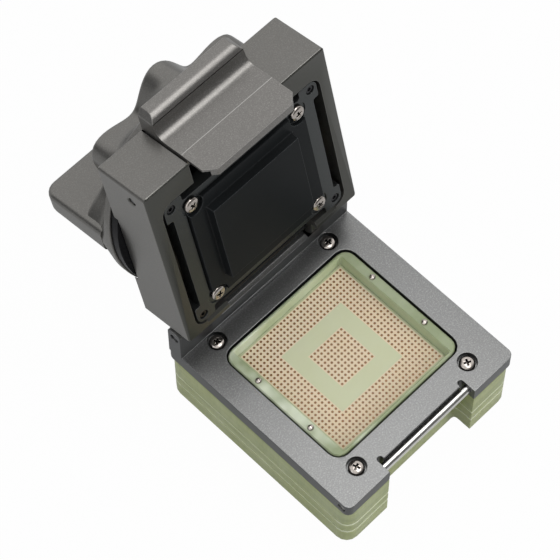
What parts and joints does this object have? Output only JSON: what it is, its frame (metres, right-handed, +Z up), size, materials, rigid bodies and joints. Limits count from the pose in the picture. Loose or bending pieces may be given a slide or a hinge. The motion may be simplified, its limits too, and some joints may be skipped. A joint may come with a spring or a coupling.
{
  "type": "chip test socket",
  "caption": "Clamshell test socket for a ball-grid chip: a hinged lid with a hooked latch, and a lobed wing knob that drives a floating pusher onto the chip.",
  "frame": {"origin": "middle of the contact field, on the underside of the base", "axes": "+X along the front edge to the right, +Y from the latch side back to the hinge, +Z up out of the base; the lid rests open"},
  "size_m": [0.0532, 0.0857, 0.0789],
  "materials": {
    "grey_anodised": "fine bead-blasted dark grey anodising, satin",
    "plate_grey": "dark grey anodising, satin",
    "black_anodised": "black anodising, satin",
    "black_polymer": "black low-friction polymer, matt",
    "green_laminate": "opaque pale green glass-fibre laminate, sawn and milled edges",
    "guide_plastic": "pale green engineering plastic, satin",
    "polished_steel": "polished stainless steel",
    "spring_steel": "bright spring wire"
  },
  "bodies": {
    "base": {"base_frame": "grey_anodised", "dowel_left": "polished_steel", "dowel_right": "polished_steel", "frame_screw_front_left": "polished_steel", "frame_screw_front_right": "polished_steel", "frame_screw_rear_left": "polished_steel", "frame_screw_rear_right": "polished_steel", "guide_screw_front_left": "polished_steel", "guide_screw_front_right": "polished_steel", "guide_screw_rear_left": "polished_steel", "guide_screw_rear_right": "polished_steel", "guide_spring_front_left": "spring_steel", "guide_spring_front_right": "spring_steel", "guide_spring_rear_left": "spring_steel", "guide_spring_rear_right": "spring_steel", "hinge_pin": "polished_steel", "latch_bar": "polished_steel", "lower_plate": "green_laminate", "middle_plate": "green_laminate", "upper_plate": "green_laminate"},
    "guide": {"chip_guide": "guide_plastic"},
    "lid": {"latch_pin": "polished_steel", "latch_spring_left": "spring_steel", "latch_spring_right": "spring_steel", "lid_frame": "grey_anodised", "return_spring_front_left": "spring_steel", "return_spring_front_right": "spring_steel", "return_spring_rear_left": "spring_steel", "return_spring_rear_right": "spring_steel", "shoulder_screw_front_left": "polished_steel", "shoulder_screw_front_right": "polished_steel", "shoulder_screw_rear_left": "polished_steel", "shoulder_screw_rear_right": "polished_steel", "thrust_ring": "black_polymer"},
    "latch": {"latch": "grey_anodised"},
    "knob": {"drive_shaft": "polished_steel", "knob": "grey_anodised", "knob_pin": "polished_steel"},
    "pusher": {"float_plate": "plate_grey", "pusher": "black_anodised", "pusher_screw_front_left": "polished_steel", "pusher_screw_front_right": "polished_steel", "pusher_screw_rear_left": "polished_steel", "pusher_screw_rear_right": "polished_steel", "ram_nut": "polished_steel"}
  },
  "joints": [
    {"name": "lid_hinge", "type": "hinge", "parent": "base", "child": "lid", "pos_m": [0, 0.0244, 0.02596], "axis": [1, 0, 0], "range_deg": [0, 102.8]},
    {"name": "latch_pivot", "type": "hinge", "parent": "lid", "child": "latch", "pos_m": [0, 0.03402, 0.07125], "axis": [-1, 0, 0], "range_deg": [0, 10], "stiffness_Nm_per_rad": 0.06, "springref_deg": -8.59, "deforming": ["latch_spring_left", "latch_spring_right"]},
    {"name": "knob_turn", "type": "hinge", "parent": "lid", "child": "knob", "pos_m": [0, 0.02469, 0.05092], "axis": [0, -0.9751, 0.2215], "range_deg": [0, 90]},
    {"name": "pusher_slide", "type": "slide", "parent": "lid", "child": "pusher", "axis": [0, -0.9751, 0.2215], "range_m": [0, 0.0012], "deforming": ["return_spring_front_left", "return_spring_front_right", "return_spring_rear_left", "return_spring_rear_right"]},
    {"name": "guide_float", "type": "slide", "parent": "base", "child": "guide", "axis": [0, 0, -1], "range_m": [0, 0.0005], "stiffness_N_per_m": 400, "springref_m": -0.001, "deforming": ["guide_spring_front_left", "guide_spring_front_right", "guide_spring_rear_left", "guide_spring_rear_right"]}
  ],
  "couplings": [
    {"joint": "pusher_slide", "follows": "knob_turn", "m_per_rad": 0.00076}
  ]
}
